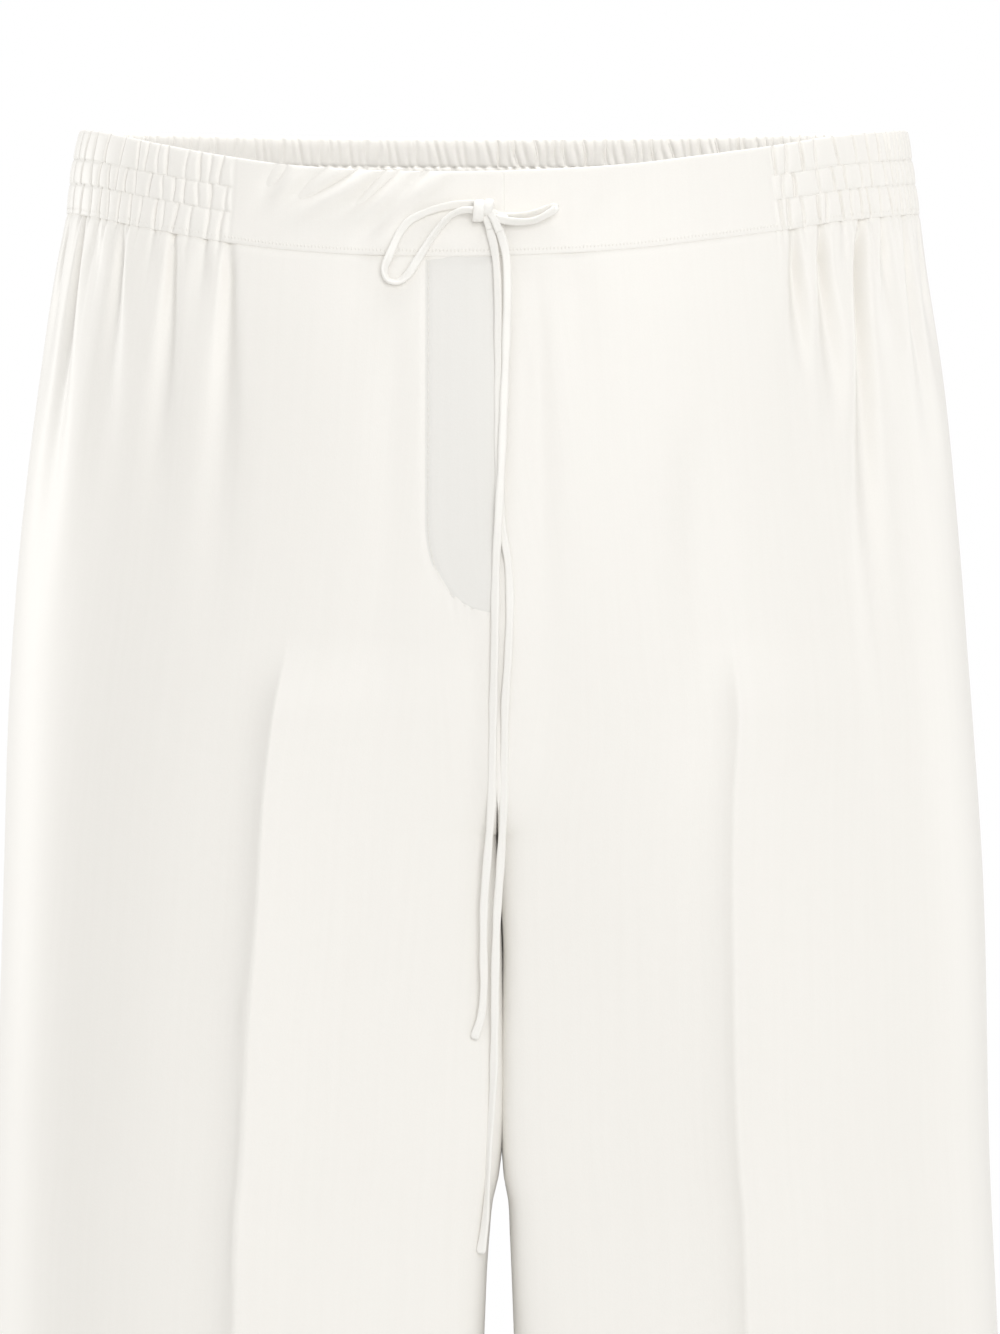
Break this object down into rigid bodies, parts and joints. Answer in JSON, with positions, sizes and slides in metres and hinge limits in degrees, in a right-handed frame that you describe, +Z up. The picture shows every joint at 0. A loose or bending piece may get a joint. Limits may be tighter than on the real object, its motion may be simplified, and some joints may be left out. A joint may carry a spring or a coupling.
{
  "type": "drawstring trousers",
  "caption": "Wide-leg satin drawstring trousers, filled out and hollow as if worn, with pressed creases, a gathered elastic waistband, a stitched fly and a tied bow.",
  "frame": {"origin": "The middle of the waist, at the waistband's mid height at the side seams, where a wearer holds the trousers up.", "axes": "+X to the wearer's left, +Y to the back, +Z up."},
  "size_m": [0.4274, 0.2422, 1.0492],
  "materials": {
    "satin": "soft satin weave, ivory",
    "satin_cord": "turned tube of the same ivory satin"
  },
  "bodies": {
    "root": {"front_right": "satin", "front_left": "satin", "back_right": "satin", "back_left": "satin", "fly": "satin", "band_front_right": "satin", "band_front_left": "satin", "band_side_right": "satin", "band_side_left": "satin", "band_back_right": "satin", "band_back_left": "satin", "knot": "satin_cord", "loop_right": "satin_cord", "loop_left": "satin_cord", "tail_long": "satin_cord", "tail_short": "satin_cord"}
  },
  "joints": []
}
